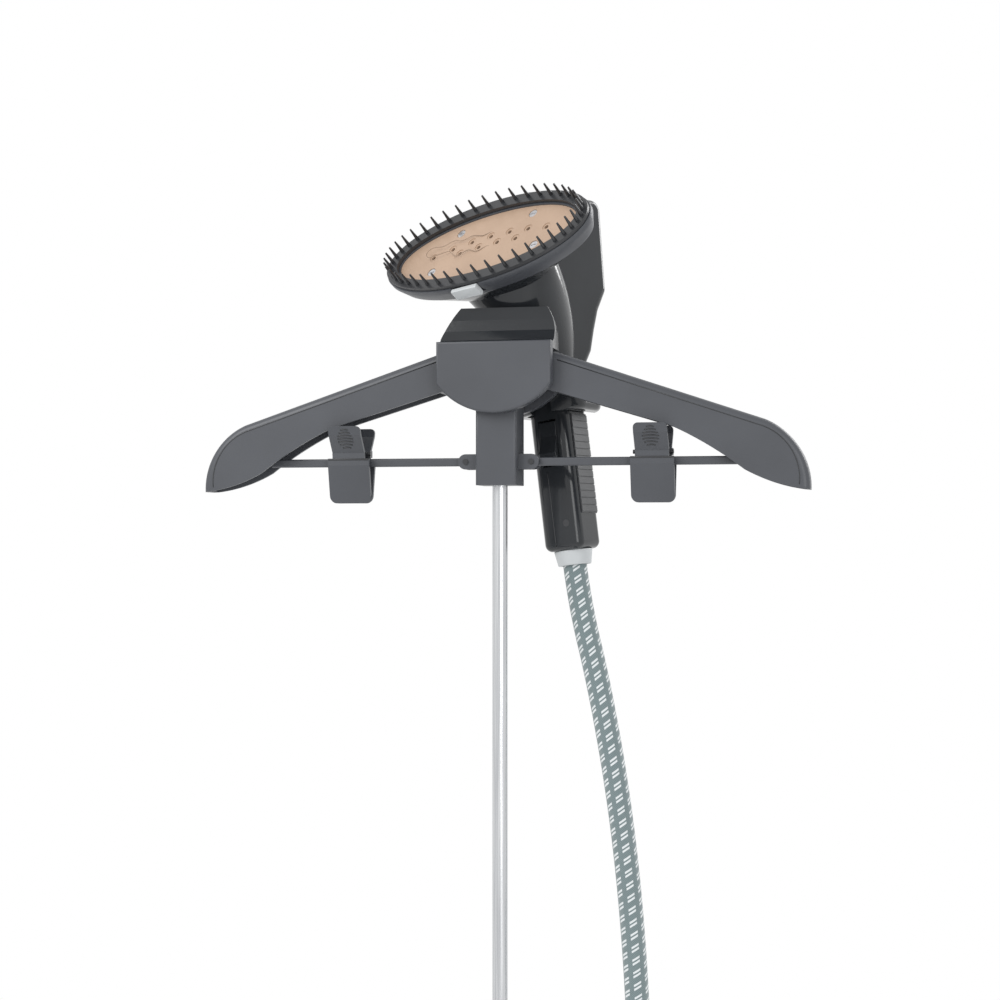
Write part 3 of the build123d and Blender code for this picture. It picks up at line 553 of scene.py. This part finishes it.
def contour_heights(x):
    """Height of the contour line's upper and lower run at x."""
    top_row = TOP_ROW_Y - TOP_ROW_DROP * ((x - TOP_ROW_X) / CONTOUR_REACH) ** 2
    above = top_row + TOP_GAP + TOP_WAVE * near_hole(x, TOP_ROW_X, TOP_ROW_PITCH)
    low_row = LOW_ROW_Y - LOW_ROW_CURVE * (x - LOW_ROW_X) ** 2
    below = low_row - LOW_GAP - LOW_WAVE * near_hole(x, LOW_ROW_HOLE_X, LOW_ROW_PITCH)
    blend = max(0.0, min(1.0, (CLIMB_START - abs(x - LOW_ROW_X)) / CLIMB_LENGTH))
    return above, (1 - blend) * (top_row - END_GAP) + blend * below


def plate_contour():
    """Engraved outline that runs in waves round the two arched rows of steam holes; it is a thin line in a darker
    tone, painted shade of its groove.
    """
    upper, lower = [], []
    for k in range(CONTOUR_STEPS + 1):
        x = TOP_ROW_X - CONTOUR_REACH + 2 * CONTOUR_REACH * k / CONTOUR_STEPS
        above, below = contour_heights(x)
        upper.append((x, above))
        lower.append((x, below))
    right_end, left_end = [], []
    for turn in CONTOUR_END_TURNS:
        out, up = CONTOUR_END_R * cos(turn), CONTOUR_END_R * sin(turn)
        right_end.append((TOP_ROW_X + CONTOUR_REACH + out, CONTOUR_END_Y + up))
        left_end.append((TOP_ROW_X - CONTOUR_REACH - out, CONTOUR_END_Y - up))
    outline = upper + right_end + lower[::-1] + left_end
    path = [PLATE @ Vector((x, y, CONTOUR_LIFT)) for x, y in outline]
    # the line's darker tone is painted shade of the engraved groove
    line_piece("plate_contour", path, CONTOUR_R, "plate_champagne", "head", "plate_groove", closed=True)


# places in the head's frame
SEAM_FOOT = (-0.004, -0.0180, 0.003)
SEAM_STEP = 0.0055
SEAM_POINTS = 11
SEAM_R = 0.00030
SOCKET_CENTRE = (0.0065, -0.0177, 0.0195)
SOCKET_BACK_R = 0.0028
SOCKET_FACE_R = 0.0026
SOCKET_DEPTH = 0.0008


def handle_seam():
    """Parting line down the front of the handle."""
    x, y, foot_z = SEAM_FOOT
    path = [HEAD @ Vector((x, y, foot_z + SEAM_STEP * k)) for k in range(SEAM_POINTS)]
    line_piece("handle_seam", path, SEAM_R, "gloss_black", "head", "nylon_black")


def handle_socket():
    """The small dark socket beside the handle's seam."""
    placed = HEAD @ Matrix.Translation(SOCKET_CENTRE) @ Matrix.Rotation(radians(90), 4, "X")
    work = bmesh.new()
    bmesh.ops.create_cone(
        work, cap_ends=True, segments=32, radius1=SOCKET_BACK_R, radius2=SOCKET_FACE_R,
        depth=SOCKET_DEPTH, matrix=placed,
    )
    mesh = bpy.data.meshes.new("handle_socket")
    work.to_mesh(mesh)
    work.free()
    add_mesh("handle_socket", mesh, "nylon_black", "head", smooth=False)


# ---------------------------------------------------------------- base
POINTER_CENTRE = (0.0, -0.1493, 0.1045)
POINTER_SIZE = (0.0022, 0.0012, 0.0100)
MARK_CENTRE = (-0.058, -0.1180, 0.170)
MARK_PITCH = 0.055
MARK_WIDTHS = (0.014, 0.014, 0.024)
MARK_DEPTH, MARK_HEIGHT = 0.0006, 0.0014
VENT_CENTRE = (0.018, 0.1398, 0.092)
VENT_PITCH = 0.008
VENT_COUNT = 7
VENT_SIZE = (0.0036, 0.0010, 0.0260)


def base_details():
    """Pointer on the dial, filling marks on the tank, and at the back of the base dark blocks that are painted
    shade in the vent slots.
    """
    pointer = block_mesh("dial_pointer", POINTER_CENTRE, POINTER_SIZE)
    add_mesh("dial_pointer", pointer, "valve_white", "dial")
    x, y, z = MARK_CENTRE
    for k, width in enumerate(MARK_WIDTHS):
        size = (width, MARK_DEPTH, MARK_HEIGHT)
        mark = block_mesh(f"level_mark_{k}", (x, y, z + MARK_PITCH * k), size)
        add_mesh(f"level_mark_{k}", mark, "valve_white", "tank")
    # painted shade: each vent slot is a thin dark block in place of the shade inside the opening
    x, y, z = VENT_CENTRE
    for k in range(VENT_COUNT):
        vent_shade = block_mesh(f"vent_{k}", (x + VENT_PITCH * k, y, z), VENT_SIZE)
        add_mesh(f"vent_{k}", vent_shade, "nylon_black", "base")


# ---------------------------------------------------------------- hose
HOSE_R = 0.00875
HOSE_SIDES = 32
HOSE_ROUTE = [
    (0.0462, POLE_Y + 0.0458, 1.3310),
    (0.0504, POLE_Y + 0.0445, 1.2980),
    (0.0660, POLE_Y + 0.0425, 1.2350),
    (0.0810, POLE_Y + 0.0415, 1.1500),
    (0.0910, POLE_Y + 0.0395, 1.0600),
    (0.0970, POLE_Y + 0.0370, 0.9500),
    (0.0995, POLE_Y + 0.0340, 0.8300),
    (0.0990, POLE_Y + 0.0305, 0.7100),
    (0.0960, POLE_Y + 0.0270, 0.5900),
    (0.0920, POLE_Y + 0.0235, 0.4600),
    (0.0890, POLE_Y + 0.0210, 0.3300),
    (0.0880, POLE_Y + 0.0200, 0.1720),
]
CORE_R = 0.0045
CORE_SIDES = 24
CORE_HEIGHTS = (0.028, 0.010, -0.010, -0.029)


def spline_points(route):
    """Points along the smooth NURBS line that the route's points control."""
    curve = bpy.data.curves.new("route", "CURVE")
    curve.dimensions = "3D"
    curve.resolution_u = 24
    spline = curve.splines.new("NURBS")
    spline.points.add(len(route) - 1)
    for point, place in zip(spline.points, route):
        point.co = (*place, 1.0)
    spline.order_u = 3
    spline.use_endpoint_u = True
    holder = bpy.data.objects.new("route", curve)
    bpy.context.collection.objects.link(holder)
    line = bpy.data.meshes.new_from_object(holder)
    points = [vertex.co.copy() for vertex in line.vertices]
    bpy.data.objects.remove(holder)
    bpy.data.curves.remove(curve)
    bpy.data.meshes.remove(line)
    return points


def make_hose():
    """The braided sleeve, from inside the handle's collar down to the relief on the base."""
    path = spline_points(HOSE_ROUTE)
    sleeve = tube_mesh("braided_hose", path, HOSE_R, HOSE_SIDES, open_start=True)
    hose = add_mesh("braided_hose", sleeve, "hose_weave", "base")
    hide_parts("steam_hose")
    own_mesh(hose)


def hose_core():
    """The steam tube inside the sleeve: it hangs from the handle and shows when the head is lifted."""
    path = [HEAD @ Vector((0, 0, z)) for z in CORE_HEIGHTS]
    add_mesh("hose_core", tube_mesh("hose_core", path, CORE_R, CORE_SIDES), "rubber_black", "head")


# ---------------------------------------------------------------- light and floor
def area_light(name, place, size, power, target=(0, 0.03, 1.3)):
    data = bpy.data.lights.new(name, "AREA")
    data.shape = "RECTANGLE"
    data.size, data.size_y = size
    data.energy = power
    light = bpy.data.objects.new(name, data)
    bpy.context.collection.objects.link(light)
    light.location = place
    light.rotation_euler = (Vector(place) - Vector(target)).to_track_quat("Z", "Y").to_euler()


FLOOR_HALF = 2.4


def make_stage():
    """A pale floor, a white studio round it and three lights."""
    mesh = bpy.data.meshes.new("floor")
    work = bmesh.new()
    bmesh.ops.create_grid(work, x_segments=1, y_segments=1, size=FLOOR_HALF)
    work.to_mesh(mesh)
    work.free()
    floor_obj = bpy.data.objects.new("floor", mesh)
    bpy.context.collection.objects.link(floor_obj)
    shade = Shade("floor_pale", (0.86, 0.86, 0.86), 0.7)
    shade.roughness(shade.spread(shade.noise(6.0), 0.6, 0.8))
    mesh.materials.append(shade.material)
    world = bpy.data.worlds.new("studio")
    world.use_nodes = True
    background = world.node_tree.nodes["Background"]
    background.inputs["Color"].default_value = (1.0, 1.0, 1.0, 1.0)
    background.inputs["Strength"].default_value = 1.0
    bpy.context.scene.world = world
    bpy.context.scene.view_settings.view_transform = "Standard"
    area_light("key", (-1.3, -1.6, 2.6), (1.2, 1.2), 30)
    area_light("front", (1.4, -2.0, 1.6), (0.9, 1.6), 16)
    area_light("rim", (1.2, 1.4, 2.4), (0.8, 1.2), 18)


make_camera()
make_hose()
hose_core()
arm_grooves()
clip_details()
plate_contour()
handle_seam()
handle_socket()
base_details()
dress_cad_nodes()
round_edges()
make_stage()
